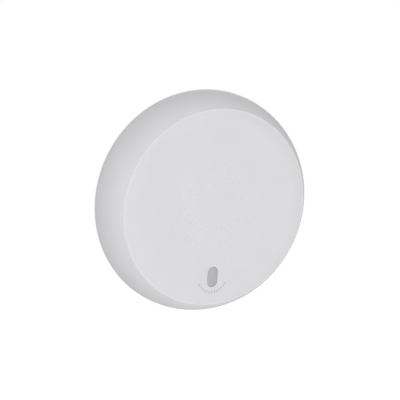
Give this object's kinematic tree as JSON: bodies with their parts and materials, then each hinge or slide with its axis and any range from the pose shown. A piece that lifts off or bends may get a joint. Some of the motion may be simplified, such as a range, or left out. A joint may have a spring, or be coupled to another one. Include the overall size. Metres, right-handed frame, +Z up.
{
  "type": "wireless smoke detector",
  "caption": "Round wall-hung smoke detector with a domed cover, push test button, smoke inlet, optical chamber and a twist-off head on a mounting plate.",
  "frame": {"origin": "centre of the mounting plate's back face, on the wall", "axes": "+Y into the wall along the detector's axis, so the face looks to -Y; +Z up with the test button at the bottom; +X to the right seen from the front"},
  "size_m": [0.09, 0.037, 0.09],
  "materials": {
    "shell": "fine satin moulded texture, white",
    "base": "fine satin moulded texture, white",
    "plate": "plain moulded, white",
    "light_pipe": "clear grey moulded",
    "switch_body": "black moulded",
    "switch_key": "dark moulded",
    "lamp": "clear resin on white",
    "board": "green solder resist",
    "screw": "zinc plated",
    "cell": "printed sleeve, plain",
    "contact": "nickel plated spring steel",
    "chamber": "black moulded",
    "screen": "etched sheet",
    "emitter": "tinted resin",
    "sensor": "dark resin",
    "tin": "tin plated",
    "horn": "black moulded",
    "brass": "rolled sheet",
    "ceramic": "silvered",
    "soft": "soft",
    "radio": "blue solder resist",
    "aerial": "stamped strip",
    "chip": "black epoxy",
    "crystal": "pressed can",
    "capacitor": "shrink sleeve",
    "ferrite": "sintered"
  },
  "bodies": {
    "mount": {"mounting_plate": "plate"},
    "head": {"rear_housing": "base", "front_cover": "shell", "test_switch": "switch_body", "status_light": "lamp", "main_board": "board", "board_screws": "screw", "battery": "cell", "contact_positive": "contact", "contact_negative": "contact", "chamber_base": "chamber", "chamber_cover": "chamber", "insect_screen": "screen", "infrared_emitter": "emitter", "light_sensor": "sensor", "sensor_shield": "tin", "siren_cup": "horn", "siren_disc": "brass", "siren_ceramic": "ceramic", "siren_gasket": "soft", "siren_springs": "contact", "radio_board": "radio", "radio_can": "tin", "radio_aerial": "aerial", "microcontroller": "chip", "clock_crystal": "crystal", "buffer_capacitor": "capacitor", "boost_coil": "ferrite"},
    "button": {"test_button": "light_pipe"},
    "switch_key": {"switch_plunger": "switch_key"}
  },
  "joints": [
    {"name": "head_twist", "type": "hinge", "parent": "mount", "child": "head", "pos_m": [0, 0, 0], "axis": [0, -1, 0], "range_deg": [0, 15]},
    {"name": "test_button_press", "type": "slide", "parent": "head", "child": "button", "axis": [0, 1, 0], "range_m": [0, 0.00035], "stiffness_N_per_m": 400, "springref_m": -0.002},
    {"name": "switch_plunger_press", "type": "slide", "parent": "head", "child": "switch_key", "axis": [0, 1, 0], "range_m": [0, 0.00035]}
  ],
  "couplings": [
    {"joint": "switch_plunger_press", "follows": "test_button_press", "ratio": 1}
  ]
}
